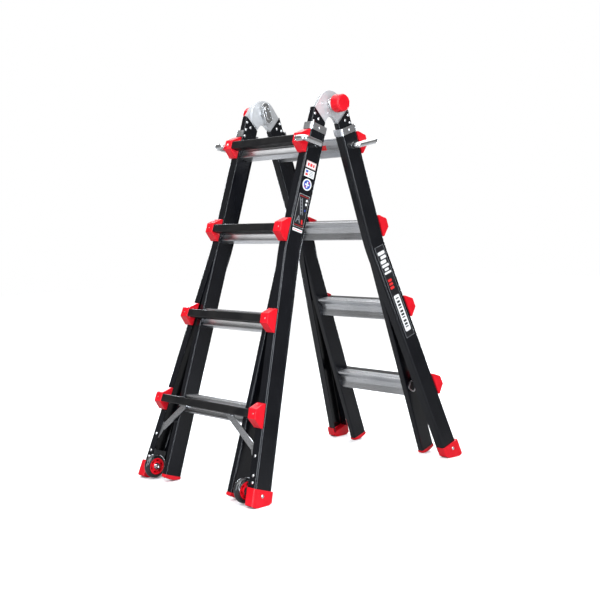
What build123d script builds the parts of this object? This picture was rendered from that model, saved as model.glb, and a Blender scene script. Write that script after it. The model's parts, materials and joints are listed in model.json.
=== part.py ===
from build123d import *
from math import acos, atan, cos, degrees, radians, sin, sqrt
import os

os.makedirs("parts", exist_ok=True)

# An articulated telescoping ladder, folded out as a step ladder: two halves joined by lockable hinges.
# Each half is an inner ladder with box rails and a flared outer ladder that slides along it.
# Millimetres. X is across the ladder, +Z up, the front half leans towards -Y, and the soles stand on z = 0.
# A half is drawn upright in its own terms: s runs down the rail from the hinge axis and n runs outwards
# from the hinge plane, so a drawn point (x, n, s) is the vector (x, -n, -s). Pieces are drawn for +X.

# ---- whole ladder ----
LEAN = 18.24            # degrees between a half and the vertical
AXIS_HEIGHT = 1162.0    # hinge axis above the ground
RUNG_PITCH = 280.0
FIRST_RUNG = 143.7      # s of the top rung
RUNG_COUNT = 4
RUNGS = [FIRST_RUNG + RUNG_PITCH * k for k in range(RUNG_COUNT)]

# ---- inner ladder ----
IN_X0, IN_X1 = 153.0, 175.0      # inner rail, across
IN_N0, IN_N1 = 7.0, 65.0         # inner rail, from the inside to the outside of the A
IN_N = (IN_N0 + IN_N1) / 2
IN_WALL = 2.0
IN_CORNER = 4.0
IN_TOP_OUT, IN_TOP_IN = 31.5, 65.0   # s of the slanted top at the outer and inner edge
IN_END = 1217.0
NECK_N, NECK_S = 35.0, 39.0      # tube end pressed through the rail
NECK_WALL, NECK_CORNER = 2.6, 10.0
RING_PROUD = 2.6
CAP_DEPTH = 30.0

# ---- outer ladder ----
OUT_X = 184.0            # outside of the web where the rail is straight
OUT_DEPTH = 32.0         # flange width
OUT_N0, OUT_N1 = 3.4, 68.6
OUT_N = (OUT_N0 + OUT_N1) / 2
WEB, FLANGE = 3.0, 2.6
OUT_CORNER = 8.0
OUT_TOP = 88.0
OUT_END = 1206.0
FLARE_FROM = 478.0       # where the rails begin to spread
FLARE = 0.134            # spread per millimetre of rail
FLARE_RADIUS = 420.0
PANEL_MARGIN, PANEL_DEPTH = 11.0, 0.7    # shallow panel rolled into the web
RUNG_N0, RUNG_N1 = 70.6, 100.4
RUNG_HALF = 12.2
RUNG_WALL = 2.2
BRACKET_FACE = 102.6
BRACKET_LIP = 1.6        # how far the bracket stands inside the flange edge
BRACKET_TALL, BRACKET_SHORT = 36.0, 14.5
BRACKET_HOLE_R, BRACKET_HOLE = 4.0, 1.9      # sunk rivet hole in a bracket face
STRAP_S0, STRAP_S1, STRAP_T = 82.0, 104.0, 1.8
FOOT_TOP = 1188.7
FOOT_N0, FOOT_N1 = 0.8, 76.0
FOOT_WALL = 4.4
FOOT_INNER = 1.4         # the foot's inner side, from the flange edge

# ---- hinges ----
PLATE_R, PLATE_DROP = 50.0, 8.5     # rounded top of a hinge plate, and how far its centre lies below the axis
PLATE_T, PLATE_GAP = 4.2, 0.2
ARCH_DROP, ARCH_R = 61.0, 25.0
BUSH_R, SHAFT_R = 9.0, 6.0
RUN = 0.05               # radial running clearance
KNOB_X0, KNOB_X1 = 197.0, 231.0
KNOB_R0, KNOB_R1 = 28.5, 26.5
LOCK_X, LOCK_T = 133.0, 4.0
LOCK_PIN_R, LOCK_PIN_AT = 3.5, 24.0

# ---- ladder locks ----
HOOK_R, PIN_R = 9.3, 5.5
HOOK_X, HOOK_END_X, HOOK_TIP_X = 206.0, 216.0, 184.0
HOOK_N = 113.0
HOOK_TILT = 6.0

# ---- wheels ----
WHEEL_X, WHEEL_N, WHEEL_S = 227.0, 61.0, 1200.0
WHEEL_R, WHEEL_W = 38.0, 24.0
HUB_R, BORE_R, AXLE_R = 26.0, 11.0, 4.0
WHEEL_PLATE_X, WHEEL_PLATE_T = 240.6, 3.0

# ---- rivets ----
RIVET_R, HEAD_R, HEAD_T = 2.5, 4.4, 2.2
HINGE_RIVETS = [(57.0, 51.5), (39.0, 63.5), (56.0, 75.5), (55.0, 97.0)]   # (n, s) in an inner rail
STUDS = [(38.0, 12.0), (4.0, 30.0)]                                      # (n, s) on the front plate

# The wheels stand out further than the rear feet, so the hinge sits a little off the middle of the box.
HINGE_Y = 5.5

SIDE = Plane(origin=(0, 0, 0), x_dir=(0, -1, 0), z_dir=(1, 0, 0))    # sketch in (n, s), extrude along +X
FACE = Plane(origin=(0, 0, 0), x_dir=(1, 0, 0), z_dir=(0, 1, 0))     # sketch in (x, s), extrude towards -n


def at(x, n, s):
    return Vector(x, -n, -s)


def side_slab(sketch, x0, x1):
    """A sketch in (n, s), as a slab from x0 to x1."""
    return extrude(SIDE.offset(x0) * sketch, x1 - x0)


def face_slab(sketch, n0, n1):
    """A sketch in (x, s), as a slab from n0 to n1."""
    return extrude(FACE.offset(-n1) * sketch, n1 - n0)


def box(x0, x1, n0, n1, s0, s1):
    middle = at((x0 + x1) / 2, (n0 + n1) / 2, (s0 + s1) / 2)
    return Pos(middle) * Box(x1 - x0, n1 - n0, s1 - s0)


def rod(radius, x0, x1, n, s):
    """A round bar along X."""
    return Pos(at((x0 + x1) / 2, n, s)) * Rot(0, 90, 0) * Cylinder(radius, x1 - x0)


def rod_n(radius, x, s, n0, n1):
    """A round bar along the half's outward direction."""
    return Pos(at(x, (n0 + n1) / 2, s)) * Rot(90, 0, 0) * Cylinder(radius, n1 - n0)


def dome(radius, height):
    """A low rivet head that stands on the XY plane."""
    ball = (radius * radius + height * height) / (2 * height)
    head = Pos(0, 0, height - ball) * Sphere(ball)
    return head & Pos(0, 0, height / 2) * Box(3 * radius, 3 * radius, height)


def head_x(x, n, s, out=1, radius=HEAD_R, height=HEAD_T):
    """A rivet head on a face that looks along +X (out = 1) or -X."""
    return Pos(at(x, n, s)) * Rot(0, 90 * out, 0) * dome(radius, height)


def head_n(x, n, s, radius=HEAD_R, height=HEAD_T):
    """A rivet head on a face that looks outwards."""
    return Pos(at(x, n, s)) * Rot(90, 0, 0) * dome(radius, height)


def web_x(s):
    """Outside of the outer rail's web at s."""
    return OUT_X + FLARE * max(0.0, s - FLARE_FROM)


# ---------------------------------------------------------------- inner ladder
def slant():
    """Everything above the slanted top of an inner rail."""
    fall = (IN_TOP_IN - IN_TOP_OUT) / (IN_N1 - IN_N0)
    top_out = IN_TOP_OUT - fall * 10
    top_in = IN_TOP_IN + fall * 10
    return side_slab(Polygon((IN_N0 - 10, -20), (IN_N1 + 10, -20), (IN_N1 + 10, top_out), (IN_N0 - 10, top_in),
                             align=None), IN_X0 - 5, IN_X1 + 5)


def diamond(grow=0.0):
    """The rounded diamond of a tread's pressed end, in (n, s) about its own middle."""
    radius = NECK_CORNER + grow
    reach = grow + radius * (sqrt(2) - 1)
    half_n, half_s = NECK_N / 2 + reach, NECK_S / 2 + reach
    lozenge = Polygon((half_n, 0), (0, half_s), (-half_n, 0), (0, -half_s), align=None)
    return fillet(lozenge.vertices(), radius)


def inner_rail():
    middle = at((IN_X0 + IN_X1) / 2, IN_N, 0)
    wide, deep = IN_X1 - IN_X0, IN_N1 - IN_N0
    outer = RectangleRounded(wide, deep, IN_CORNER)
    inner = RectangleRounded(wide - 2 * IN_WALL, deep - 2 * IN_WALL, IN_CORNER - IN_WALL)
    rail = Pos(middle.X, middle.Y, -IN_END) * extrude(outer - inner, IN_END - 20)
    rail -= slant()
    for s in RUNGS:
        rail -= side_slab(Pos(IN_N, s) * tread_skin(), IN_X0 - 1, IN_X0 + IN_WALL + 0.5)
        rail -= side_slab(Pos(IN_N, s) * diamond(), IN_X1 - IN_WALL - 0.5, IN_X1 + 1)
    for n, s in HINGE_RIVETS:
        rail -= rod(RIVET_R, IN_X0 - 1, IN_X1 + 1, n, s)
    return rail


# Section of a tread in (n, s) about the middle of its neck: a sloping top and a waisted body.
TREAD_SKIN = [(-22, -33), (20, -24), (20.5, -18), (11, -11), (11, 8), (19, 27), (17, 30.5), (-18, 30.5),
              (-20, 27), (-11, 8), (-11, -11), (-22.5, -26)]
TREAD_HOLLOW = [(-19.6, -30), (17.7, -22), (18, -19.3), (8.8, -12.2), (8.8, 8.6), (16.4, 26.4), (15.8, 28.3),
                (-16.8, 28.3), (-17.4, 26.4), (-8.8, 8.6), (-8.8, -12.2), (-20, -27.2)]


def tread_skin():
    return fillet(Polygon(*TREAD_SKIN, align=None).vertices(), 1.6)


def tread():
    """Hollow tread that passes through the rail's inner wall; a pressed neck passes through the outer one."""
    rounded = tread_skin()
    x_end = IN_X0 + IN_WALL
    body = side_slab(rounded - Polygon(*TREAD_HOLLOW, align=None), -x_end, x_end)
    for k in range(9):                      # grip grooves along the sloping top
        share = (k + 1) / 10
        groove = Pos(-22 + 42 * share, -33 + 9 * share) * Rectangle(1.6, 1.6)
        body -= side_slab(groove, -IN_X0 + 1, IN_X0 - 1)
    plate = rounded + diamond()
    neck = diamond() - diamond(-NECK_WALL)
    ring = diamond(1.2) - diamond(-NECK_WALL)
    for out in (-1, 1):
        x_wall, x_neck, x_face = out * x_end, out * (x_end + 3), out * IN_X1
        x_tip = out * (IN_X1 + RING_PROUD)
        body += side_slab(plate, min(x_wall, x_neck), max(x_wall, x_neck))
        body += side_slab(neck, min(x_neck, x_face), max(x_neck, x_face))
        body += side_slab(ring, min(x_face, x_tip), max(x_face, x_tip))
    return body


def tread_plug():
    """Black plug in the pressed neck of a tread, drawn for +X."""
    return side_slab(diamond(-NECK_WALL), IN_X1 - 8, IN_X1 + 0.4)


def treads():
    return group(*[Pos(at(0, IN_N, s)) * tread() for s in RUNGS])


def inner_cap():
    wide, deep = IN_X1 - IN_X0, IN_N1 - IN_N0
    sole = make_face(Polyline((IN_N1, IN_END), (IN_N1, IN_END + 9))
                     + ThreePointArc((IN_N1, IN_END + 9), (30, IN_END + 13), (IN_N0, IN_END + 7))
                     + Polyline((IN_N0, IN_END + 7), (IN_N0, IN_END), (IN_N1, IN_END)))
    cap = side_slab(sole, IN_X0, IN_X1)
    cap = fillet(cap.faces().sort_by(Axis.Z)[0].edges(), 2.0)
    plug = RectangleRounded(wide - 2 * IN_WALL, deep - 2 * IN_WALL, IN_CORNER - IN_WALL)
    middle = at((IN_X0 + IN_X1) / 2, IN_N, IN_END)
    return cap + Pos(middle.X, middle.Y, middle.Z) * extrude(plug, CAP_DEPTH)


# ---------------------------------------------------------------- hinges
def tangent(n, s, radius):
    """Where a line from (n, s) touches the upper side of a circle about the origin."""
    swing = -acos(radius / sqrt(n * n + s * s))
    share = radius / (n * n + s * s) ** 0.5
    return (share * (n * cos(swing) - s * sin(swing)), share * (n * sin(swing) + s * cos(swing)))


def plate_outline():
    """Hinge plate in (n, s): a rounded head, a leg into the rail and an arch between the legs."""
    lean = radians(LEAN)
    leg_n0, leg_n1, leg_end = IN_N0 + IN_WALL + 1.3, IN_N1 - IN_WALL - 1.3, 108.5
    shoulder_s = IN_TOP_OUT + 4.5
    touch_n, touch_s = tangent(leg_n1, shoulder_s - PLATE_DROP, PLATE_R)
    leg = Polygon((touch_n, touch_s + PLATE_DROP), (leg_n1, shoulder_s), (leg_n1, leg_end), (leg_n0, leg_end),
                  (leg_n0, 62), (-14, 41), (0, 0), align=None)
    arch = Pos(-ARCH_DROP * sin(lean), ARCH_DROP * cos(lean)) * Circle(ARCH_R)
    return Pos(0, PLATE_DROP) * Circle(PLATE_R) + leg - arch


def hinge_plates(layers, studs=False):
    """The plates of one half in one hinge, drawn for +X: layer 0 lies against the inner wall of the rail."""
    outline = plate_outline() - Circle(BUSH_R + RUN)
    for n, s in HINGE_RIVETS:
        outline -= Pos(n, s) * Circle(RIVET_R)
    plates = []
    for layer in layers:
        x0 = IN_X0 + IN_WALL + PLATE_GAP + layer * (PLATE_T + PLATE_GAP)
        sketch = outline
        if layer == 0:
            for turn in (-1, 1):
                sketch -= Pos(0, turn * LOCK_PIN_AT) * Circle(LOCK_PIN_R + RUN)
        plate = side_slab(sketch, x0, x0 + PLATE_T)
        plates.append(plate)
    if studs:
        x_face = IN_X0 + IN_WALL + PLATE_GAP + layers[-1] * (PLATE_T + PLATE_GAP) + PLATE_T
        for n, s in STUDS:
            plates[-1] += head_x(x_face, n, s, radius=3.2, height=1.4)
    return Compound(children=plates)


def hinge_rivets():
    """Through rivets of one inner rail's hinge leg, drawn for +X."""
    rivets = []
    for n, s in HINGE_RIVETS:
        rivet = rod(RIVET_R, IN_X0, IN_X1, n, s) + head_x(IN_X1, n, s)
        rivets.append(rivet + head_x(IN_X0, n, s, out=-1))
    return rivets


def hinge_collar():
    """Pivot bush with an inner flange, a toothed washer outside and the spring housing under the knob."""
    washer_x = IN_X1 - IN_WALL - 0.2
    bush = rod(BUSH_R, IN_X0 - 1, washer_x, 0, 0) + rod(14.0, IN_X0 - 1.5, IN_X0 + IN_WALL, 0, 0)
    teeth = 24
    washer = rod(16.0, washer_x, washer_x + 3.2, 0, 0)
    for k in range(teeth):
        turn = 360 / teeth * k
        washer += Rot(turn, 0, 0) * Pos(washer_x + 1.6, 16.2, 0) * Rot(45, 0, 0) * Box(3.2, 2.6, 2.6)
    housing = rod(14.5, washer_x + 3.2, KNOB_X0 + 4, 0, 0) - rod(12.6, washer_x + 3.2, KNOB_X0 + 5, 0, 0)
    collar = bush + washer + housing
    return collar - rod(SHAFT_R + RUN, 0, KNOB_X1, 0, 0)


def hinge_knob():
    """Tapered hollow push knob with rounded edges."""
    wall = 3.2
    outer = [(KNOB_X0, KNOB_R0), (KNOB_X1, KNOB_R1), (KNOB_X1, 0), (KNOB_X0, 0)]
    solid = Pos(0, 0, 0) * revolve(make_face(Polyline(*outer, close=True)), Axis.X)
    rims = solid.edges().filter_by(GeomType.CIRCLE)
    solid = fillet(rims.sort_by(Axis.X)[-1:], 7.0)
    solid = fillet(solid.edges().filter_by(GeomType.CIRCLE).sort_by(Axis.X)[:1], 3.0)
    room = rod(KNOB_R1 - wall, KNOB_X0 - 1, KNOB_X1 - 6, 0, 0)
    return solid - room - rod(SHAFT_R, KNOB_X0, KNOB_X1 - 2, 0, 0)


def lock_plate():
    """Oblong lock plate inside the A, with its shaft and two lock pins."""
    slot = SlotOverall(70, 28, rotation=90)
    plate = side_slab(slot, LOCK_X, LOCK_X + LOCK_T)
    plate = fillet(plate.faces().filter_by(Axis.X).sort_by(Axis.X)[0].edges(), 1.2)
    boss = side_slab(SlotOverall(44, 15, rotation=90), LOCK_X - 2.4, LOCK_X)
    boss = fillet(boss.faces().filter_by(Axis.X).sort_by(Axis.X)[0].edges(), 1.6)
    shaft = rod(SHAFT_R, LOCK_X + LOCK_T, KNOB_X1 - 2, 0, 0)
    first_plate = IN_X0 + IN_WALL + PLATE_GAP
    piece = plate + boss + shaft
    for turn in (-1, 1):
        piece += rod(LOCK_PIN_R, LOCK_X + LOCK_T, first_plate + PLATE_T - 1, 0, turn * LOCK_PIN_AT)
    return piece


def coil(radius, wire, x0, x1, turns):
    """A helical spring about the hinge axis."""
    pitch = (x1 - x0 - 2 * wire) / turns
    path = Helix(pitch=pitch, height=pitch * turns, radius=radius)
    start = Plane(origin=path @ 0, z_dir=path % 0)
    wound = sweep(start * Circle(wire), path=path, is_frenet=True)
    return Pos(x0 + wire, 0, 0) * Rot(0, 90, 0) * wound


# ---------------------------------------------------------------- outer ladder
def rail_band(inset0, inset1, s0, s1):
    """A band in (x, s) that follows the flared rail, from inset0 to inset1 inside the web's outer face."""
    lean = atan(FLARE)
    reach = FLARE_RADIUS * sin(lean / 2) / cos(lean / 2)
    corner = {}
    for inset in (inset0, inset1):
        x = OUT_X - inset
        corner[inset] = [(x, s0), (x, FLARE_FROM - reach),
                         (x + reach * sin(lean), FLARE_FROM + reach * cos(lean)),
                         (x + FLARE * (s1 - FLARE_FROM), s1)]
    a, b = corner[inset0], corner[inset1]
    edge = [Line(a[0], a[1]), TangentArc(a[1], a[2], tangent=(0, 1)), Line(a[2], a[3]), Line(a[3], b[3]),
            Line(b[3], b[2]), TangentArc(b[1], b[2], tangent=(0, 1)), Line(b[1], b[0]), Line(b[0], a[0])]
    return make_face(Wire([piece.edge() for piece in edge]))


def outer_skin():
    """Outside of the outer rail as one solid, with its two long corners rounded."""
    full = face_slab(rail_band(0, OUT_DEPTH, OUT_TOP, OUT_END), OUT_N0, OUT_N1)
    outside = [edge for edge in full.edges() if edge.length > 50 and on_web(edge)]
    return fillet(outside, OUT_CORNER)


def outer_rail(holes_n=()):
    """C-shaped rail, open to the inside, with a bend where it spreads."""
    full = outer_skin()
    room = face_slab(rail_band(WEB, OUT_DEPTH + 5, OUT_TOP - 5, OUT_END + 5), OUT_N0 + FLANGE, OUT_N1 - FLANGE)
    inside = [edge for edge in room.edges() if edge.length > 50 and on_web(edge, WEB)]
    rail = full - fillet(inside, OUT_CORNER - WEB)
    panel = rail_band(-2, PANEL_DEPTH, OUT_TOP - 5, OUT_END + 5)
    rail -= face_slab(panel, OUT_N0 + PANEL_MARGIN, OUT_N1 - PANEL_MARGIN)
    rail -= rod(PIN_R + 3, OUT_X - WEB - 1, OUT_X + 1, OUT_N, FIRST_RUNG)
    rail -= rod(RIVET_R, OUT_X - WEB - 1, OUT_X + 1, OUT_N, (STRAP_S0 + STRAP_S1) / 2)
    for x, s in holes_n:
        rail -= rod_n(RIVET_R, x, s, OUT_N1 - FLANGE - 1, OUT_N1 + 1)
    return rail


def on_web(edge, inset=0.0):
    """Whether an edge runs along the web's corner line at the given inset."""
    middle = edge.position_at(0.5)
    return abs(middle.X - (web_x(-middle.Z) - inset)) < 6 and edge.length > 50


def outer_rung(half):
    """Black rung: a hollow bar with grip grooves above and below, half its length given."""
    wide = RUNG_N1 - RUNG_N0
    section = RectangleRounded(wide, 2 * RUNG_HALF, 4.0)
    section -= RectangleRounded(wide - 2 * RUNG_WALL, 2 * RUNG_HALF - 2 * RUNG_WALL, 2.0)
    for k in range(6):
        for face in (-1, 1):
            section -= Pos(-wide / 2 + (k + 1) * wide / 7, face * RUNG_HALF) * Rectangle(1.4, 1.6)
    return side_slab(Pos((RUNG_N0 + RUNG_N1) / 2, 0) * section, -half, half)


def rung_reach(s):
    """Half the visible length of an outer rung."""
    return web_x(s) - OUT_DEPTH - BRACKET_LIP


SOCKET = 27.0            # how deep a rung sits in its bracket


def bracket(s, recess):
    """Red bracket that carries a rung on the outer flange, drawn for +X."""
    x0, x1 = rung_reach(s), web_x(s)
    spread = FLARE if s > FLARE_FROM else 0.0
    tall = BRACKET_TALL
    plan = Polygon((x0 - spread * tall, s - tall), (x1 - spread * tall, s - tall), (x1 + spread * tall, s + tall),
                   (x0 + spread * tall, s + tall), align=None)
    shape = Polygon((OUT_N1, s - tall), (OUT_N1 + 6, s - tall), (BRACKET_FACE, s - BRACKET_SHORT),
                    (BRACKET_FACE, s + BRACKET_SHORT), (OUT_N1 + 6, s + tall), (OUT_N1, s + tall), align=None)
    block = face_slab(plan, OUT_N1 - 1, BRACKET_FACE + 1) & side_slab(shape, x0 - 30, x1 + 30)
    rim = [edge for edge in block.edges() if -edge.center().Y > OUT_N1 + 3]
    block = fillet(rim, 1.6)
    n_mid = (RUNG_N0 + RUNG_N1) / 2
    socket = Pos(n_mid, s) * RectangleRounded(RUNG_N1 - RUNG_N0, 2 * RUNG_HALF, 4.0)
    block -= side_slab(socket, x0 - 5, x0 + SOCKET)
    x_hole = (x0 + x1) / 2 + 3
    if recess:
        block -= rod_n(BRACKET_HOLE_R, x_hole, s, BRACKET_FACE - BRACKET_HOLE, BRACKET_FACE + 1)
    return block


def bracket_rivets():
    """Rivets in the face of every bracket: proud on the top rung, sunk on the others."""
    rivets = []
    for k, s in enumerate(RUNGS):
        x = (rung_reach(s) + web_x(s)) / 2 + 3
        sunk = k > 0
        face = BRACKET_FACE - BRACKET_HOLE if sunk else BRACKET_FACE
        rivets.append(head_n(x, face, s, radius=2.4 if sunk else HEAD_R, height=0.8 if sunk else 1.8))
    return rivets


def guide_strap():
    """Aluminium band round the top of the outer rail, hooked over both flange edges."""
    edge_x, deep = OUT_X - OUT_DEPTH, OUT_N1 - OUT_N0
    tall = STRAP_S1 - STRAP_S0
    middle = at(edge_x, OUT_N, 0)
    band = RectangleRounded(2 * (OUT_DEPTH + STRAP_T), deep + 2 * STRAP_T, OUT_CORNER + STRAP_T)
    rail = RectangleRounded(2 * OUT_DEPTH, deep, OUT_CORNER)
    strap = Pos(middle.X, middle.Y, -STRAP_S1) * extrude(band - rail, tall)
    strap &= box(edge_x, OUT_X + 5, OUT_N0 - 5, OUT_N1 + 5, STRAP_S0, STRAP_S1)
    for n0, n1 in ((OUT_N0 - STRAP_T, OUT_N0 + FLANGE), (OUT_N1 - FLANGE, OUT_N1 + STRAP_T)):
        strap += box(edge_x - STRAP_T, edge_x, n0, n1, STRAP_S0, STRAP_S1)
    return strap - rod(RIVET_R, OUT_X - 1, OUT_X + 5, OUT_N, (STRAP_S0 + STRAP_S1) / 2)


def sole_outline():
    """Foot in (n, s): a flat pad that meets the ground at the working lean, rolled up at both ends."""
    lean = radians(LEAN)

    def ground(n):
        return (AXIS_HEIGHT + n * sin(lean)) / cos(lean)
    toe, heel = 50.0, 12.0
    front = Line((FOOT_N1, FOOT_TOP), (FOOT_N1, ground(toe) - 1.5))
    roll = ThreePointArc((FOOT_N1, ground(toe) - 1.5), (FOOT_N1 - 10, ground(toe) + 1.4), (toe, ground(toe)))
    pad = Line((toe, ground(toe)), (heel, ground(heel)))
    tail = ThreePointArc((heel, ground(heel)), (9, ground(9) - 2.0), (FOOT_N0, ground(FOOT_N0) - 6))
    back = Line((FOOT_N0, ground(FOOT_N0) - 6), (FOOT_N0, FOOT_TOP))
    top = Line((FOOT_N0, FOOT_TOP), (FOOT_N1, FOOT_TOP))
    return make_face(Wire([front.edge(), roll.edge(), pad.edge(), tail.edge(), back.edge(), top.edge()]))


def foot():
    """Red boot over the end of the outer rail."""
    s1 = FOOT_TOP + 60
    inner, outer = OUT_DEPTH - FOOT_INNER, -FOOT_WALL
    top0, top1 = web_x(FOOT_TOP) - inner, web_x(FOOT_TOP) - outer
    low0, low1 = web_x(s1) - inner, web_x(s1) - outer
    plan = Polygon((top0, FOOT_TOP), (top1, FOOT_TOP), (low1, s1), (low0, s1), align=None)
    boot = face_slab(plan, FOOT_N0, FOOT_N1) & side_slab(sole_outline(), top0 - 20, low1 + 20)
    boot = fillet(boot.edges().filter_by(lambda e: abs(e.tangent_at(0.5).Z) > 0.9 and e.length > 20), 4.5)
    return boot - outer_skin()


# ---------------------------------------------------------------- braces, locks and wheels
BRACE_RIVET = (248.5, 1099.0)


def brace():
    """Flat strap from the underside of the lowest rung to the back of the front flange, bent at both ends."""
    thick, wide = 3.0, 20.0
    rung_s = RUNGS[-1] + RUNG_HALF
    back = OUT_N1 - FLANGE - 0.1
    top = at(112, 84, rung_s + 1)
    low = at(224, back - 2.5, 1075)
    run = low - top
    across = run.cross(Vector(0, -1, 0)).normalized()
    normal = across.cross(run.normalized())
    strap = Plane(origin=(top + low) * 0.5, x_dir=run, z_dir=normal) * Box(run.length, wide, thick)
    strap &= box(90, 300, 0, 110, rung_s + 0.1, 1150)
    tab_top = Pos(at(110, 84, rung_s + 0.1 + thick / 2)) * Box(34, wide, thick)
    tab = Polygon((216, 1066), (234, 1056), (255, 1086), (255, 1108), (240, 1112), (226, 1092), align=None)
    tab = fillet(tab.vertices().sort_by(Axis.X)[-2:], 6.0)
    low_tab = face_slab(tab, back - thick, back)
    low_tab -= rod_n(RIVET_R, *BRACE_RIVET, back - 5, back + 1)
    return strap + tab_top + low_tab


PLATE_RIVETS = [(258.0, 1154.5), (261.0, 1174.5)]


def wheel_plate():
    """Black angle plate: one leg behind the front flange, the other carries the axle."""
    back = OUT_N1 - FLANGE - 0.1
    axle_leg = Polygon((back, 1150), (back, 1188), (70, 1190), (72, 1212), (52, 1216), (24, 1206), (20, 1150),
                       align=None)
    side = side_slab(axle_leg, WHEEL_PLATE_X, WHEEL_PLATE_X + WHEEL_PLATE_T)
    leg = box(WHEEL_PLATE_X, 266, back - 3, back, 1147, 1184)
    plate = side + leg
    plate -= rod(AXLE_R + RUN, WHEEL_PLATE_X - 5, WHEEL_PLATE_X + 10, WHEEL_N, WHEEL_S)
    for x, s in PLATE_RIVETS:
        plate -= rod_n(RIVET_R, x, s, back - 5, back + 5)
    return plate


def on_wheel(piece):
    """Moves a piece drawn about the X axis to the wheel's centre."""
    return Pos(at(WHEEL_X, WHEEL_N, WHEEL_S)) * piece


def turned(*points):
    """A ring turned about the X axis from a closed outline in (x, radius)."""
    return revolve(make_face(Polyline(*points, close=True)), Axis.X)


def tyre():
    half = WHEEL_W / 2
    crown = ThreePointArc((half - 2.5, WHEEL_R - 9), (0, WHEEL_R), (2.5 - half, WHEEL_R - 9))
    rest = Polyline((2.5 - half, WHEEL_R - 9), (1 - half, HUB_R + 2), (1 - half, HUB_R), (half - 1, HUB_R),
                    (half - 1, HUB_R + 2), (half - 2.5, WHEEL_R - 9))
    return on_wheel(revolve(make_face(crown + rest), Axis.X))


def wheel_hub():
    """Six-spoke hub with oval holes and a seat for two ball bearings."""
    half = WHEEL_W / 2 - 1
    rim = turned((-half, HUB_R), (half, HUB_R), (half, HUB_R - 3), (-half, HUB_R - 3))
    core = turned((-half, BORE_R), (half, BORE_R), (half, BORE_R + 3), (-half, BORE_R + 3))
    web = turned((-8.6, BORE_R + 1), (8.6, BORE_R + 1), (8.6, HUB_R - 1), (-8.6, HUB_R - 1))
    for k in range(6):
        hole = Rot(60 * k, 0, 0) * Pos(0, 0, (BORE_R + HUB_R) / 2) * Rot(0, 90, 0)
        web -= hole * extrude(SlotOverall(11.0, 6.0, rotation=90), 12, both=True)
    return on_wheel(rim + core + web)


def wheel_bearings():
    half = WHEEL_W / 2 - 1
    ring = turned((half - 7, AXLE_R + RUN), (half, AXLE_R + RUN), (half, BORE_R - RUN), (half - 7, BORE_R - RUN))
    return on_wheel(Compound(children=[ring, Rot(0, 0, 180) * ring]))


def hexagon(across, x0, x1):
    sketch = RegularPolygon(across / 2, 6, major_radius=False)
    return side_slab(Pos(WHEEL_N, WHEEL_S) * sketch, x0, x1)


def wheel_axle():
    """Axle bolt with a socket head inside and a nut behind the plate."""
    face = WHEEL_X - WHEEL_W / 2
    plate_out = WHEEL_PLATE_X + WHEEL_PLATE_T
    bolt = rod(AXLE_R, face, plate_out + 5, WHEEL_N, WHEEL_S)
    bolt += rod(7.5, face - 6, face + 0.6, WHEEL_N, WHEEL_S)
    bolt -= hexagon(6, face - 7, face - 2)
    bolt += rod(6.0, WHEEL_X + WHEEL_W / 2 - 0.8, WHEEL_PLATE_X, WHEEL_N, WHEEL_S)
    return bolt + hexagon(12, plate_out, plate_out + 4)


def lock_hook():
    """J-shaped lock: a pin through the web, a grip bar along it and a short leg round the front."""
    out = HOOK_N - OUT_N
    bar = FilletPolyline((HOOK_X - 18, 0), (HOOK_X, 0), (HOOK_END_X, out), (HOOK_TIP_X, out), radius=9.9)
    flat = Plane(origin=at(0, OUT_N, FIRST_RUNG), x_dir=(1, 0, 0), z_dir=(0, 0, -1))
    path = flat * bar
    start = Plane(origin=path @ 0, z_dir=path % 0)
    hook = sweep(start * Circle(HOOK_R), path=path)
    tip = path @ 1
    hook += Pos(tip) * Sphere(HOOK_R)
    hook += rod(PIN_R, OUT_X - WEB - 1.2, HOOK_X - 17, OUT_N, FIRST_RUNG)
    axis = Axis(at(0, OUT_N, FIRST_RUNG), (1, 0, 0))
    return hook.rotate(axis, HOOK_TILT)


def lock_bush():
    collar = rod(9.8, OUT_X - PANEL_DEPTH, OUT_X + 3.5, OUT_N, FIRST_RUNG)
    collar += rod(PIN_R + 3, OUT_X - WEB, OUT_X, OUT_N, FIRST_RUNG)
    return collar - rod(PIN_R + RUN, OUT_X - WEB - 1, OUT_X + 11, OUT_N, FIRST_RUNG)


# ---------------------------------------------------------------- labels
LABEL_T = 0.25
FRONT_LABELS = [(16, 56, 201, 222), (16, 56, 227, 250), (15, 57, 306, 407), (16, 56, 412, 421)]
FRONT_SEAL = (36.0, 273.5, 18.0)     # n, s, radius
REAR_LABELS = [(15, 57, 480, 797)]


def web_labels(blocks, seal=None):
    """Thin printed labels that lie on the web, drawn for +X."""
    pieces = []
    skin = rail_band(PANEL_DEPTH - LABEL_T, PANEL_DEPTH, OUT_TOP, OUT_END)
    for n0, n1, s0, s1 in blocks:
        pieces.append(face_slab(skin, n0, n1) & box(150, 300, n0, n1, s0, s1))
    if seal:
        n, s, radius = seal
        pieces.append(rod(radius, OUT_X - PANEL_DEPTH, OUT_X - PANEL_DEPTH + LABEL_T, n, s))
    return pieces


# ---------------------------------------------------------------- assembly
def other(piece):
    """The same piece on the -X side of its half."""
    return mirror(piece, Plane.YZ)


def group(*pieces):
    solids = []
    for piece in pieces:
        solids += list(piece.solids())
    return Compound(children=solids)


def front(piece):
    return Pos(0, HINGE_Y, AXIS_HEIGHT) * Rot(-LEAN, 0, 0) * piece


def rear(piece):
    """A piece of the rear half: a front piece turned round, so +X in the half becomes -X."""
    return Pos(0, HINGE_Y, AXIS_HEIGHT) * Rot(0, 0, 180) * Rot(-LEAN, 0, 0) * piece


def pair(piece):
    return group(piece, other(piece))


nodes = {}


def save(name, piece):
    nodes[name] = piece
    export_step(piece, f"parts/{name}.step")


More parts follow.
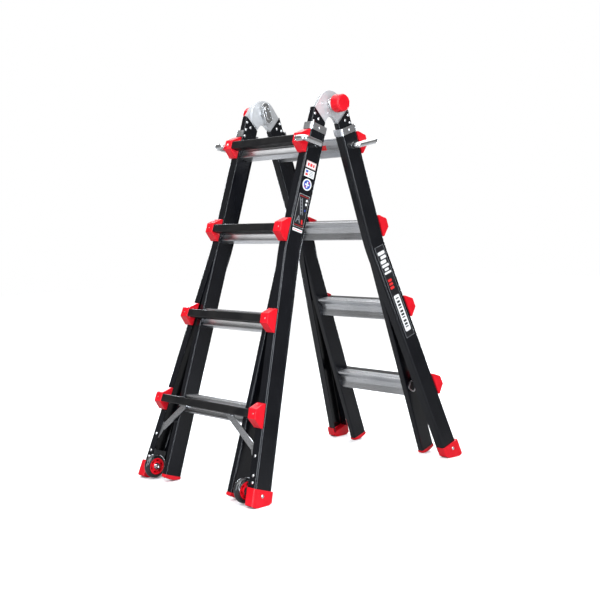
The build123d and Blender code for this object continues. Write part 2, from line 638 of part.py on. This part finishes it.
rail = inner_rail()
save("front_inner_rail_right", front(rail))
save("front_inner_rail_left", front(other(rail)))
save("rear_inner_rail_right", rear(other(rail)))
save("rear_inner_rail_left", rear(rail))
steps = treads()
caps = pair(inner_cap())
for half, put in (("front", front), ("rear", rear)):
    save(f"{half}_inner_treads", put(steps))
    save(f"{half}_inner_end_caps", put(caps))
    save(f"{half}_tread_plugs", put(pair(group(*[Pos(at(0, IN_N, s)) * tread_plug() for s in RUNGS]))))
    save(f"{half}_hinge_rivets", put(pair(group(*hinge_rivets()))))

front_plates = hinge_plates((1, 3), studs=True)
rear_plates = hinge_plates((0, 2))
save("front_hinge_plates_right", front(front_plates))
save("front_hinge_plates_left", front(other(front_plates)))
save("rear_hinge_plates_right", rear(other(rear_plates)))
save("rear_hinge_plates_left", rear(rear_plates))
spring = coil(10.4, 1.1, IN_X1 + 3.5, KNOB_X1 - 18, 6)
for side, turn in (("right", lambda piece: piece), ("left", other)):
    save(f"hinge_collar_{side}", front(turn(hinge_collar())))
    save(f"knob_spring_{side}", front(turn(spring)))
for side, turn in (("right", other), ("left", lambda piece: piece)):
    save(f"hinge_knob_{side}", rear(turn(hinge_knob())))
    save(f"lock_plate_{side}", rear(turn(lock_plate())))

outer_plain = outer_rail()
outer_drilled = outer_rail([BRACE_RIVET] + PLATE_RIVETS)
save("front_outer_rail_right", front(outer_drilled))
save("front_outer_rail_left", front(other(outer_drilled)))
save("rear_outer_rail_right", rear(other(outer_plain)))
save("rear_outer_rail_left", rear(outer_plain))
rungs = group(*[Pos(0, 0, -s) * outer_rung(rung_reach(s) + SOCKET) for s in RUNGS])
brackets = pair(group(*[bracket(s, k > 0) for k, s in enumerate(RUNGS)]))
strap = pair(guide_strap())
bushes = pair(lock_bush())
strap_rivet = (rod(RIVET_R, OUT_X - WEB, OUT_X + STRAP_T, OUT_N, (STRAP_S0 + STRAP_S1) / 2)
               + head_x(OUT_X + STRAP_T, OUT_N, (STRAP_S0 + STRAP_S1) / 2))
rivet_s = 1206.0
tilt = degrees(atan(FLARE))
foot_rivet = Pos(at(web_x(rivet_s) + FOOT_WALL, 41, rivet_s)) * Rot(0, 90 - tilt, 0) * dome(5.5, 2.2)
common = [strap_rivet, foot_rivet] + bracket_rivets()
plate_rivets = []
for x, s in PLATE_RIVETS:
    plate_rivets.append(rod_n(RIVET_R, x, s, OUT_N1 - FLANGE - 3, OUT_N1) + head_n(x, OUT_N1, s))
brace_x, brace_s = BRACE_RIVET
brace_shank = rod_n(RIVET_R, brace_x, brace_s, OUT_N1 - FLANGE, OUT_N1)
plate_rivets.append(brace_shank + head_n(brace_x, OUT_N1, brace_s))
for half, put in (("front", front), ("rear", rear)):
    save(f"{half}_outer_rungs", put(rungs))
    save(f"{half}_rung_brackets", put(brackets))
    save(f"{half}_guide_straps", put(strap))
    save(f"{half}_lock_bushes", put(bushes))
save("front_outer_rivets", front(pair(group(*common, *plate_rivets))))
save("rear_outer_rivets", rear(pair(group(*common))))
boot = foot()
save("front_foot_right", front(boot))
save("front_foot_left", front(other(boot)))
save("rear_foot_right", rear(other(boot)))
save("rear_foot_left", rear(boot))
save("front_braces", front(pair(brace())))
save("wheel_plates", front(pair(wheel_plate())))
save("wheel_axles", front(pair(wheel_axle())))
hook = lock_hook()
save("lock_hook_front_right", front(hook))
save("lock_hook_front_left", front(other(hook)))
save("lock_hook_rear_right", rear(other(hook)))
save("lock_hook_rear_left", rear(hook))
for side, turn in (("right", lambda piece: piece), ("left", other)):
    save(f"wheel_tyre_{side}", front(turn(tyre())))
    save(f"wheel_hub_{side}", front(turn(wheel_hub())))
    save(f"wheel_bearings_{side}", front(turn(wheel_bearings())))
save("front_labels", front(group(*web_labels(FRONT_LABELS, FRONT_SEAL))))
save("rear_labels", rear(other(group(*web_labels(REAR_LABELS)))))
tread_label = Pos(at(-63, IN_N - 11 - LABEL_T / 2, FIRST_RUNG - 2.6)) * Box(23, LABEL_T, 16)
save("rear_tread_label", rear(tread_label))

whole = Compound(children=list(nodes.values())).bounding_box()
print("nodes", len(nodes), "box", whole.min, whole.max)
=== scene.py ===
# %% [markdown]
# # A folding, telescoping ladder in Blender
#
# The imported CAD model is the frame: every rail, tread, bracket and bolt is already in place, in metres.
# This lesson gives each of them the finish that the real piece has, lays printed labels on the rails, and
# sets up a plain studio.

# %% Load the frame
import bpy
import json
from math import cos, pi, radians, sin
from mathutils import Matrix, Vector
from mathutils.bvhtree import BVHTree


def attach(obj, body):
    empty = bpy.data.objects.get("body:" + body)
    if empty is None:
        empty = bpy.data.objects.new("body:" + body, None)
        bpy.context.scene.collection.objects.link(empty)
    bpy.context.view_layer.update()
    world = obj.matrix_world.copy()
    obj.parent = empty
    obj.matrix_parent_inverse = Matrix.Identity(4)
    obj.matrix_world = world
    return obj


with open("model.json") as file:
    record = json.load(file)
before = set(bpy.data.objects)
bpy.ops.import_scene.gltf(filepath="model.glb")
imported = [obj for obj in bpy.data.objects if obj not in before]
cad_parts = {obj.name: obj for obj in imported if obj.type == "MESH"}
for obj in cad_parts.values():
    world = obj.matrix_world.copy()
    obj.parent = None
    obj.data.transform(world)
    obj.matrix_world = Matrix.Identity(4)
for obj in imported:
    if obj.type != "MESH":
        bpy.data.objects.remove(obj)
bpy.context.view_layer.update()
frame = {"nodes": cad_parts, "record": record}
record = frame["record"]
nodes = frame["nodes"]


# %% [markdown]
# The two halves lean apart. The record's joints say how far: the front half slides along its own rails, so
# the direction of that slide is the lean, and the fold joint passes through the hinge axis. A point on a
# half is given by x across the ladder, n outwards from the hinge plane and s down the rail from the hinge
# axis.

# %% Where the halves are
MM = 0.001
joints = {joint["name"]: joint for joint in record["behaviour"]["joints"]}
hinge_axis = Vector(joints["fold"]["pos_m"])
down_rail = Vector(joints["front_extension"]["axis"])
print("hinge axis", hinge_axis[:], "front rail runs", down_rail[:])


def on_half(half, x, n, s):
    """A point of the front (+1) or rear (-1) half, in metres, from x, n and s in millimetres."""
    y = s * down_rail.y + n * down_rail.z
    return hinge_axis + Vector((x, half * y, s * down_rail.z - n * down_rail.y)) * MM


# %% [markdown]
# ## Finishes
#
# Each finish is one node material. A small helper starts a material, and three more add what real surfaces
# have: grain that runs one way, a broken-up gloss, and a fine relief. The grain is noise stretched along
# one axis, so it has the direction that an extrusion die or a brush leaves, and it needs no picture. The
# relief helper also rounds the look of every sharp edge by half a millimetre, as deburring and coating do.

# %% Helpers for materials
IOR = 1.5           # lacquer, plastic and film


def shader_of(material):
    return material.node_tree.nodes["Principled BSDF"]


def new_finish(name, color, metallic=0.0, roughness=0.4, coat=0.0, coat_roughness=0.1, specular=0.5):
    """A Principled material with its plain values; grain and wear are added to it afterwards."""
    material = bpy.data.materials.new(name)
    material.use_nodes = True
    shader = shader_of(material)
    shader.inputs["Base Color"].default_value = (*color, 1.0)
    shader.inputs["Metallic"].default_value = metallic
    shader.inputs["Roughness"].default_value = roughness
    shader.inputs["Coat Weight"].default_value = coat
    shader.inputs["Coat Roughness"].default_value = coat_roughness
    shader.inputs["IOR"].default_value = IOR
    shader.inputs["Specular IOR Level"].default_value = specular
    return material


def add(material, kind):
    return material.node_tree.nodes.new(kind)


def link(material, source, socket, target, target_socket):
    material.node_tree.links.new(source.outputs[socket], target.inputs[target_socket])


NOISE_ROUGHNESS = 0.55


def noise(material, scale, stretch=(1.0, 1.0, 1.0), turn=(0.0, 0.0, 0.0), detail=3.0):
    """Noise in metres of the object, squeezed by stretch and turned to lie along a piece."""
    place = add(material, "ShaderNodeTexCoord")
    mapping = add(material, "ShaderNodeMapping")
    mapping.inputs["Rotation"].default_value = turn
    mapping.inputs["Scale"].default_value = stretch
    texture = add(material, "ShaderNodeTexNoise")
    texture.inputs["Scale"].default_value = scale
    texture.inputs["Detail"].default_value = detail
    texture.inputs["Roughness"].default_value = NOISE_ROUGHNESS
    link(material, place, "Object", mapping, "Vector")
    link(material, mapping, "Vector", texture, "Vector")
    return texture


NOISE_LOW, NOISE_HIGH = 0.35, 0.65      # most of a noise texture's values lie between these


def gloss(material, texture, low, high):
    """Roughness that wanders between low and high."""
    span = add(material, "ShaderNodeMapRange")
    span.inputs["From Min"].default_value = NOISE_LOW
    span.inputs["From Max"].default_value = NOISE_HIGH
    span.inputs["To Min"].default_value = low
    span.inputs["To Max"].default_value = high
    link(material, texture, "Fac", span, "Value")
    link(material, span, "Result", shader_of(material), "Roughness")


def tint(material, texture, dark, light):
    """Colour that wanders between dark and light."""
    ramp = add(material, "ShaderNodeValToRGB")
    first, last = ramp.color_ramp.elements
    first.position, first.color = NOISE_LOW, (*dark, 1.0)
    last.position, last.color = NOISE_HIGH, (*light, 1.0)
    link(material, texture, "Fac", ramp, "Fac")
    link(material, ramp, "Color", shader_of(material), "Base Color")


EDGE_RADIUS, EDGE_SAMPLES = 0.0005, 4       # half a millimetre, as deburring and coating leave it


def relief(material, texture, depth, strength):
    """A bump of the texture, depth in metres, over edges that look rounded."""
    soft_edge = add(material, "ShaderNodeBevel")
    soft_edge.samples = EDGE_SAMPLES
    soft_edge.inputs["Radius"].default_value = EDGE_RADIUS
    bump = add(material, "ShaderNodeBump")
    link(material, soft_edge, "Normal", bump, "Normal")
    bump.inputs["Strength"].default_value = strength
    bump.inputs["Distance"].default_value = depth
    link(material, texture, "Fac", bump, "Height")
    link(material, bump, "Normal", shader_of(material), "Normal")


print("helpers ready, noise is read between", NOISE_LOW, "and", NOISE_HIGH)

# %% [markdown]
# The rails are extruded aluminium with a black coat. The coat is smooth enough to show a soft highlight
# along each rounded corner. Faint die lines run down the rail, and dust and handling break up the gloss.
# The lines have to run along the rail, so each half gets its own turned copy.

# %% Black rails
lean = down_rail.angle(Vector((0, 0, -1)))


def rail_finish(name, half):
    finish = new_finish(name, (0.0035, 0.004, 0.006), roughness=0.2, specular=0.42)
    lines = noise(finish, 1.0, stretch=(900, 900, 6), turn=(-half * lean, 0, 0), detail=2.0)
    patches = noise(finish, 14.0, detail=4.0)
    gloss(finish, patches, 0.17, 0.23)
    tint(finish, patches, (0.0028, 0.0032, 0.005), (0.0045, 0.005, 0.007))
    relief(finish, lines, 0.000003, 0.2)
    return finish


front_rail_black = rail_finish("front_rail_black", 1)
rear_rail_black = rail_finish("rear_rail_black", -1)
print("made", front_rail_black.name, rear_rail_black.name)

# %% [markdown]
# The outer rungs have the same coat on a ribbed bar, a little duller where boots have rubbed them. Their
# die lines run across the ladder.

# %% Black rungs
rung_black = new_finish("rung_black", (0.007, 0.007, 0.008), roughness=0.38, specular=0.3)
rung_lines = noise(rung_black, 1.0, stretch=(6, 700, 700), detail=2.0)
rung_rub = noise(rung_black, 22.0, detail=5.0)
gloss(rung_black, rung_rub, 0.3, 0.44)
tint(rung_black, rung_rub, (0.006, 0.006, 0.007), (0.011, 0.0105, 0.0105))
relief(rung_black, rung_lines, 0.000006, 0.3)
print("made", rung_black.name)

# %% [markdown]
# The inner treads are bare extruded aluminium. Their grain runs across the ladder, so it stretches the
# noise along X and highlights spread up and down the tread's facets.

# %% Silver treads
tread_silver = new_finish("tread_silver", (0.74, 0.75, 0.77), metallic=1.0, roughness=0.3)
tread_grain = noise(tread_silver, 1.0, stretch=(5, 900, 900), detail=3.0)
tread_patches = noise(tread_silver, 9.0, detail=3.0)
gloss(tread_silver, tread_grain, 0.24, 0.4)
tint(tread_silver, tread_patches, (0.66, 0.67, 0.69), (0.80, 0.80, 0.815))
relief(tread_silver, tread_grain, 0.00003, 0.5)
print("made", tread_silver.name)

# %% [markdown]
# The hinge plates are pressed steel with a fine satin face, and the rivets are soft aluminium.

# %% Hinge plates and rivets
hinge_silver = new_finish("hinge_silver", (0.70, 0.71, 0.72), metallic=0.45, roughness=0.36)
plate_grain = noise(hinge_silver, 400.0, detail=3.0)
plate_patches = noise(hinge_silver, 18.0, detail=3.0)
gloss(hinge_silver, plate_patches, 0.32, 0.42)
tint(hinge_silver, plate_patches, (0.68, 0.69, 0.70), (0.74, 0.75, 0.76))
relief(hinge_silver, plate_grain, 0.00001, 0.3)

rivet_silver = new_finish("rivet_silver", (0.78, 0.79, 0.80), metallic=1.0, roughness=0.28)
rivet_patches = noise(rivet_silver, 300.0, detail=4.0)
gloss(rivet_silver, rivet_patches, 0.2, 0.4)
tint(rivet_silver, rivet_patches, (0.66, 0.67, 0.68), (0.84, 0.85, 0.86))
print("made", hinge_silver.name, rivet_silver.name)

# %% [markdown]
# The lock hooks, bushes, bolts and lock plates are bright plated steel. Fine scratches keep the plating
# from looking like a perfect mirror.

# %% Bright plating
bright_steel = new_finish("bright_steel", (0.80, 0.81, 0.82), metallic=1.0, roughness=0.14)
plating = noise(bright_steel, 60.0, detail=4.0)
gloss(bright_steel, plating, 0.12, 0.2)
tint(bright_steel, plating, (0.78, 0.79, 0.80), (0.86, 0.87, 0.88))
relief(bright_steel, noise(bright_steel, 500.0, detail=3.0), 0.000004, 0.3)
print("made", bright_steel.name)

# %% [markdown]
# The brackets, feet, caps, knobs and hubs are moulded in one red plastic. Moulded plastic has a fine
# orange-peel relief and a soft clear gloss, with slight clouding in the colour.

# %% Red plastic
red_plastic = new_finish("red_plastic", (0.70, 0.004, 0.014), roughness=0.34, specular=0.4)
clouding = noise(red_plastic, 26.0, detail=4.0)
peel = noise(red_plastic, 700.0, detail=2.0)
gloss(red_plastic, clouding, 0.28, 0.38)
tint(red_plastic, clouding, (0.66, 0.003, 0.012), (0.74, 0.006, 0.018))
relief(red_plastic, peel, 0.00004, 0.3)
print("made", red_plastic.name)

# %% [markdown]
# The tyres are hard polyurethane with a wet-looking gloss, so they get a coat as well as a low roughness.
# The plugs in the tread ends are moulded and dull, and the wheel plates are painted steel with a little
# handling wear. One shared black would look the same under a lamp and lose the difference, so each has its
# own.

# %% Black tyres, plugs and painted plates
tyre_black = new_finish("tyre_black", (0.006, 0.006, 0.007), roughness=0.12, coat=0.6, coat_roughness=0.06)
tyre_wear = noise(tyre_black, 60.0, detail=5.0)
gloss(tyre_black, tyre_wear, 0.1, 0.24)
tint(tyre_black, tyre_wear, (0.005, 0.005, 0.006), (0.011, 0.011, 0.012))
relief(tyre_black, noise(tyre_black, 400.0, detail=2.0), 0.00003, 0.25)

plug_black = new_finish("plug_black", (0.008, 0.008, 0.009), roughness=0.4, specular=0.3)
plug_wear = noise(plug_black, 90.0, detail=4.0)
gloss(plug_black, plug_wear, 0.34, 0.48)
tint(plug_black, plug_wear, (0.007, 0.007, 0.008), (0.012, 0.012, 0.013))
relief(plug_black, noise(plug_black, 600.0, detail=2.0), 0.00003, 0.3)

plate_black = new_finish("plate_black", (0.02, 0.02, 0.022), roughness=0.36)
plate_wear = noise(plate_black, 50.0, detail=5.0)
gloss(plate_black, plate_wear, 0.3, 0.48)
tint(plate_black, plate_wear, (0.015, 0.015, 0.017), (0.032, 0.032, 0.034))
relief(plate_black, noise(plate_black, 500.0, detail=2.0), 0.00003, 0.3)
print("made", tyre_black.name, plug_black.name, plate_black.name)

# %% [markdown]
# Labels are printed film. The inks are flat to the eye, so the life is in the film: it is slightly wavy and
# has a soft sheen.

# %% Label inks
def ink(name, color):
    film = new_finish(name, color, roughness=0.36, coat=0.3, coat_roughness=0.25)
    waves = noise(film, 120.0, detail=3.0)
    gloss(film, waves, 0.3, 0.44)
    tint(film, waves, tuple(0.94 * v for v in color), color)
    relief(film, waves, 0.00003, 0.25)
    return film


ink_white = ink("ink_white", (0.86, 0.86, 0.85))
ink_red = ink("ink_red", (0.72, 0.02, 0.02))
ink_black = ink("ink_black", (0.006, 0.006, 0.008))
ink_blue = ink("ink_blue", (0.02, 0.07, 0.42))
ink_grey = ink("ink_grey", (0.32, 0.33, 0.35))
print("made", len([m for m in bpy.data.materials if m.name.startswith("ink_")]), "inks")

# %% [markdown]
# Every CAD node keeps its mesh and takes the finish of its real piece. The halves need different rail
# finishes because their grain leans different ways.

# %% Give every node its finish
SLOT_FINISH = {
    "rung_black": rung_black, "tread_silver": tread_silver, "hinge_silver": hinge_silver,
    "bright_steel": bright_steel, "rivet_silver": rivet_silver, "red_plastic": red_plastic,
    "tyre_black": tyre_black, "plate_black": plate_black, "label_white": ink_white,
    "label_black": ink_black, "label_red": ink_red, "plug_black": plug_black,
}
slot_of = {part["node"]: part["material_slot"] for part in record["subparts"]}


def finish_of(node):
    if slot_of[node] == "rail_black":
        return front_rail_black if node.startswith("front") else rear_rail_black
    return SLOT_FINISH[slot_of[node]]


for name, piece in nodes.items():
    finish = finish_of(name)
    if piece.material_slots:
        for place in piece.material_slots:
            place.material = finish
    else:
        piece.data.materials.append(finish)
print("finished", len(nodes), "nodes")

# %% [markdown]
# ## Printed labels
#
# A printed label is ink on film. Each colour of ink is a very thin raised layer, so it is made as a slab a
# few hundredths of a millimetre thick that lies on the label. A shape is a list of rows: how far down the
# rail, and where the row starts and ends across it. Every corner of a row is dropped onto the label along
# X, so the ink follows the bend of the rail. The marks are plain bars, discs and a simple ladder sign.

# %% Shapes made of rows
STEP = 5.0          # longest row spacing, mm, short enough to follow the bend


def bar(n0, n1, s0, s1, lean_n=0.0):
    """A rectangle; lean_n moves its lower end across the rail, which makes it slant."""
    count = max(1, int((s1 - s0) / STEP) + 1)
    shares = [k / count for k in range(count + 1)]
    return [(s0 + (s1 - s0) * share, n0 + lean_n * share, n1 + lean_n * share) for share in shares]


def rounded(n0, n1, s0, s1, radius):
    """A rectangle with round corners."""
    turns = [radians(15 * k) for k in range(7)]
    top = [(s0 + radius * (1 - sin(t)), radius * (1 - cos(t))) for t in reversed(turns)]
    ends = [(s, n0 + inset, n1 - inset) for s, inset in top]
    low = [(s0 + s1 - s, left, right) for s, left, right in reversed(ends)]
    middle = bar(n0, n1, s0 + radius, s1 - radius)[1:-1] if s1 - s0 > 2 * radius + STEP else []
    return ends + middle + low


def disc(n, s, radius):
    return rounded(n - radius, n + radius, s - radius, s + radius, radius)


def frame_bars(n0, n1, s0, s1, width):
    """The outline of a rectangle, as four bars."""
    return [bar(n0, n1, s0, s0 + width), bar(n0, n1, s1 - width, s1),
            bar(n0, n0 + width, s0 + width, s1 - width), bar(n1 - width, n1, s0 + width, s1 - width)]


print("a disc has", len(disc(0, 0, 5)), "rows")

# %% [markdown]
# An image texture could print the label in one go, but it needs a picture file. Slabs of ink need none,
# keep sharp edges at any distance, and are real pieces of the scene. They are closed on all sides, with
# their undersides just below the label's surface.

# %% Laying ink on a label
REACH = 0.4         # metres, further out than any label
ROOT = 0.00008      # metres of each slab that lies under the label's surface


def surface_of(node):
    mesh = nodes[node].data
    return BVHTree.FromPolygons([v.co for v in mesh.vertices], [tuple(p.vertices) for p in mesh.polygons])


surfaces = {"front": surface_of("front_labels"), "rear": surface_of("rear_labels")}


def lay_ink(name, half, ink_finish, lift, shapes):
    """One mesh of thin closed slabs, lift metres above the label of a half."""
    verts, faces = [], []
    for rows in shapes:
        first = len(verts)
        for s, left, right in rows:
            for n in (left, right):
                start = on_half(1 if half == "front" else -1, REACH / MM, n, s)
                start.x = REACH
                hit = surfaces[half].ray_cast(start, Vector((-1, 0, 0)))[0]
                verts += [(hit.x + lift, start.y, start.z), (hit.x - ROOT, start.y, start.z)]
        for k in range(len(rows) - 1):
            a = first + 4 * k
            faces += [(a, a + 2, a + 6, a + 4), (a + 1, a + 5, a + 7, a + 3),
                      (a, a + 4, a + 5, a + 1), (a + 2, a + 3, a + 7, a + 6)]
        last = first + 4 * (len(rows) - 1)
        faces += [(first, first + 1, first + 3, first + 2), (last, last + 2, last + 3, last + 1)]
    mesh = bpy.data.meshes.new(name)
    mesh.from_pydata(verts, [], faces)
    mesh.materials.append(ink_finish)
    piece = bpy.data.objects.new(name, mesh)
    bpy.context.collection.objects.link(piece)
    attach(piece, f"{half}_outer")
    print(name, "shapes", len(shapes), "faces", len(faces))


LOW, HIGH = 0.00005, 0.0001       # metres above the label: first and second ink

# %% [markdown]
# The front label set has two small notices, a round seal, a tall black panel with a ladder sign and a
# narrow strip. It sits at eye height on the outer face of the front rail.

# %% Ink on the front rail
notice_red = frame_bars(17, 55, 202, 221, 0.9) + [bar(22, 28, 206.5, 216.5), bar(31, 40, 206.5, 216.5)]
notice_red += [bar(43, 50, 206.5, 216.5), bar(42, 52, 239.5, 246)]
lay_ink("front_ink_red", "front", ink_red, LOW, notice_red)
notice_grey = [bar(20, 38, 230.5 + 4.6 * k, 232.6 + 4.6 * k) for k in range(4)]
lay_ink("front_ink_grey", "front", ink_grey, LOW, notice_grey)
front_blue = [bar(42, 52, 230, 237), disc(36, 273.5, 14.0)]
lay_ink("front_ink_blue", "front", ink_blue, LOW, front_blue)
seal_white = [bar(33.6, 38.4, 264, 283), bar(27, 45, 271.5, 275.5)]
lay_ink("front_seal_white", "front", ink_white, HIGH, seal_white)
seal_red = [bar(27, 31, 263, 267.5), bar(41, 45, 279, 283.5)]
lay_ink("front_seal_red", "front", ink_red, HIGH, seal_red)
lay_ink("front_panel_black", "front", ink_black, LOW, [rounded(15.6, 56.4, 306.6, 406.4, 3)])

panel_red = [bar(18, 54, 311, 312.2), bar(18, 54, 401, 402.2), bar(24, 30, 382, 396, -3)]
lay_ink("front_panel_red", "front", ink_red, HIGH, panel_red)
ladder_sign = [bar(42, 44, 318, 368, -14), bar(50, 52, 318, 368, -14)]
for k in range(5):
    rung_s = 323 + 9.5 * k
    shift = -14 * (rung_s - 318) / 50
    ladder_sign.append(bar(44 + shift, 50 + shift, rung_s, rung_s + 1.6))
a_sign = [bar(41, 43.5, 372, 394, 8), bar(41, 43.5, 372, 394, -8), bar(37, 48, 384, 386)]
lay_ink("front_panel_grey", "front", ink_grey, HIGH, ladder_sign + a_sign)
lay_ink("front_panel_white", "front", ink_white, HIGH, [disc(23, 321, 4), disc(23, 333, 4)])
lay_ink("front_panel_blue", "front", ink_blue, HIGH, [disc(23, 352, 3)])
lay_ink("front_strip_red", "front", ink_red, LOW, [bar(18, 54, 415.5, 417.3)])

# %% [markdown]
# The rear panel is a long black label below the bend. It has a thin grey outline, a group of white bars, a
# group of red bars and a white box with dark dashes.

# %% Ink on the rear rail
lay_ink("rear_ink_grey", "rear", ink_grey, LOW, frame_bars(16, 56, 482, 795, 0.8))
white_bars = [rounded(20, 52, 500, 511, 3), rounded(26, 52, 515, 525, 3), rounded(20, 46, 529, 540, 3)]
white_bars += [rounded(20, 52, 544, 553, 3), rounded(26, 46, 557, 565, 3), rounded(20, 52, 569, 576, 3)]
white_bars.append(rounded(23, 49, 651, 776, 5))
lay_ink("rear_ink_white", "rear", ink_white, LOW, white_bars)
red_bars = [rounded(23, 41, 594, 603, 3), rounded(23, 41, 607, 615, 3), rounded(23, 41, 619, 628, 3)]
lay_ink("rear_ink_red", "rear", ink_red, LOW, red_bars)
dashes = [bar(29, 43, 660 + 11 * k, 660 + 11 * k + (7 if k % 3 else 4)) for k in range(10)]
lay_ink("rear_ink_dark", "rear", ink_black, HIGH, dashes)

# %% [markdown]
# ## Studio
#
# Black rails on a white ground need dark surroundings and narrow bright lights: a flat face then stays
# nearly black, and only the rounded corners and the edges catch a line of light. A white room would wash
# the rails grey. So the floor and the surround look white where the camera sees them directly, and are
# darker to the light that bounces off them onto the ladder. The Light Path node makes that difference. It
# is used only in this staging, and in no finish of the ladder.

# %% Floor
FLOOR_HALF = 9.0
FLOOR_SEEN, FLOOR_BOUNCED = 0.97, 0.28
floor_mesh = bpy.data.meshes.new("floor")
corners = [(-FLOOR_HALF, -FLOOR_HALF, 0), (FLOOR_HALF, -FLOOR_HALF, 0),
           (FLOOR_HALF, FLOOR_HALF, 0), (-FLOOR_HALF, FLOOR_HALF, 0)]
floor_mesh.from_pydata(corners, [], [(0, 1, 2, 3)])
floor = bpy.data.objects.new("floor", floor_mesh)
bpy.context.collection.objects.link(floor)
floor_paint = new_finish("floor_paint", (0.95, 0.95, 0.95), roughness=0.7, specular=0.1)
floor_wear = noise(floor_paint, 3.0, detail=2.0)
gloss(floor_paint, floor_wear, 0.65, 0.8)
seen_by = add(floor_paint, "ShaderNodeLightPath")
floor_tone = add(floor_paint, "ShaderNodeMix")
floor_tone.data_type = "RGBA"
floor_tone.inputs["A"].default_value = (FLOOR_BOUNCED, FLOOR_BOUNCED, FLOOR_BOUNCED, 1)
floor_tone.inputs["B"].default_value = (FLOOR_SEEN, FLOOR_SEEN, FLOOR_SEEN, 1)
link(floor_paint, seen_by, "Is Camera Ray", floor_tone, "Factor")
link(floor_paint, floor_tone, "Result", shader_of(floor_paint), "Base Color")
floor_mesh.materials.append(floor_paint)
print("floor is", 2 * FLOOR_HALF, "metres across")

# %% [markdown]
# The surround is the world's background. Its strength depends on the kind of ray in the same way as the
# floor.

# %% Surround
SURROUND, SURROUND_SEEN = 0.2, 1.0
world = bpy.data.worlds.new("studio")
bpy.context.scene.world = world
world.use_nodes = True
world_tree = world.node_tree
background = world_tree.nodes["Background"]
background.inputs["Color"].default_value = (1, 1, 1, 1)
ray_kind = world_tree.nodes.new("ShaderNodeLightPath")
level_of = world_tree.nodes.new("ShaderNodeMapRange")
level_of.inputs["To Min"].default_value = SURROUND
level_of.inputs["To Max"].default_value = SURROUND_SEEN
world_tree.links.new(ray_kind.outputs["Is Camera Ray"], level_of.inputs["Value"])
world_tree.links.new(level_of.outputs["Result"], background.inputs["Strength"])
print("surround lights at", SURROUND, "and shows at", SURROUND_SEEN)

# %% [markdown]
# Four tall strip lights stand round the ladder, two for the front corners and two for the back. They are
# narrow, so a rounded corner shows each of them as a thin line. Two large soft lights give the plastic and
# the labels their colour, and a wide sun overhead keeps the floor white with soft contact shadows.

# %% Lights
AIM = Vector((0, 0, 0.6))
STRIP_AZIMUTHS = (18, 74, 198, 254)
STRIP = {"elevation_deg": 8, "distance": 2.6, "width": 0.24, "height": 2.8, "radiance": 26.0,
         "tone": (0.86, 0.92, 1.0)}
SOFTBOX = {"elevation_deg": 42, "distance": 3.0, "width": 1.5, "height": 1.5}
OVERHEAD_STRENGTH, OVERHEAD_SPREAD_DEG = 3.0, 100


def soft_light(name, azimuth_deg, elevation_deg, distance, width, height, radiance, tone=(1, 1, 1)):
    """A rectangular light that looks at the ladder; azimuth 0 is the front, 90 the right side."""
    turn, rise = radians(azimuth_deg), radians(elevation_deg)
    away = Vector((sin(turn) * cos(rise), -cos(turn) * cos(rise), sin(rise)))
    data = bpy.data.lights.new(name, "AREA")
    data.shape = "RECTANGLE"
    data.size, data.size_y = width, height
    data.energy = radiance * width * height * pi
    data.color = tone
    lamp = bpy.data.objects.new(name, data)
    lamp.location = AIM + away * distance
    lamp.rotation_euler = (-away).to_track_quat("-Z", "Y").to_euler()
    bpy.context.collection.objects.link(lamp)
    lamp.visible_camera = False


for azimuth_deg in STRIP_AZIMUTHS:
    soft_light(f"strip_{azimuth_deg}", azimuth_deg, **STRIP)
soft_light("key", 46, radiance=3.2, **SOFTBOX)
soft_light("back_key", 226, radiance=2.5, **SOFTBOX)

overhead = bpy.data.lights.new("overhead", "SUN")
overhead.energy = OVERHEAD_STRENGTH
overhead.angle = radians(OVERHEAD_SPREAD_DEG)
overhead_lamp = bpy.data.objects.new("overhead", overhead)
bpy.context.collection.objects.link(overhead_lamp)

# %% [markdown]
# The camera stands in front and to the right, a little above the middle of the ladder, with a moderate
# telephoto lens. The placement is written as angles round the ladder, because they can be read and changed
# one at a time.

# %% Camera
SENSOR_MM, FOCAL_MM = 36.0, 64.07
CAMERA_AZIMUTH, CAMERA_ELEVATION, CAMERA_ROLL = 48.22, 4.39, -1.63      # degrees
CAMERA_PLACE = Vector((2.5874, -2.3041, 0.8140))

camera_data = bpy.data.cameras.new("camera")
camera_data.sensor_width = SENSOR_MM
camera_data.lens = FOCAL_MM
camera = bpy.data.objects.new("camera", camera_data)
bpy.context.collection.objects.link(camera)
azimuth, elevation, roll = radians(CAMERA_AZIMUTH), radians(CAMERA_ELEVATION), radians(CAMERA_ROLL)
back = Vector((sin(azimuth) * cos(elevation), -cos(azimuth) * cos(elevation), sin(elevation)))
level = Vector((cos(azimuth), sin(azimuth), 0))
upright = back.cross(level)
right = cos(roll) * level + sin(roll) * upright
up = -sin(roll) * level + cos(roll) * upright
turned = Matrix((right, up, back)).transposed().to_4x4()
camera.matrix_world = Matrix.Translation(CAMERA_PLACE) @ turned
bpy.context.scene.camera = camera
bpy.context.scene.view_settings.view_transform = "Standard"
print("camera at", camera.matrix_world.translation[:])
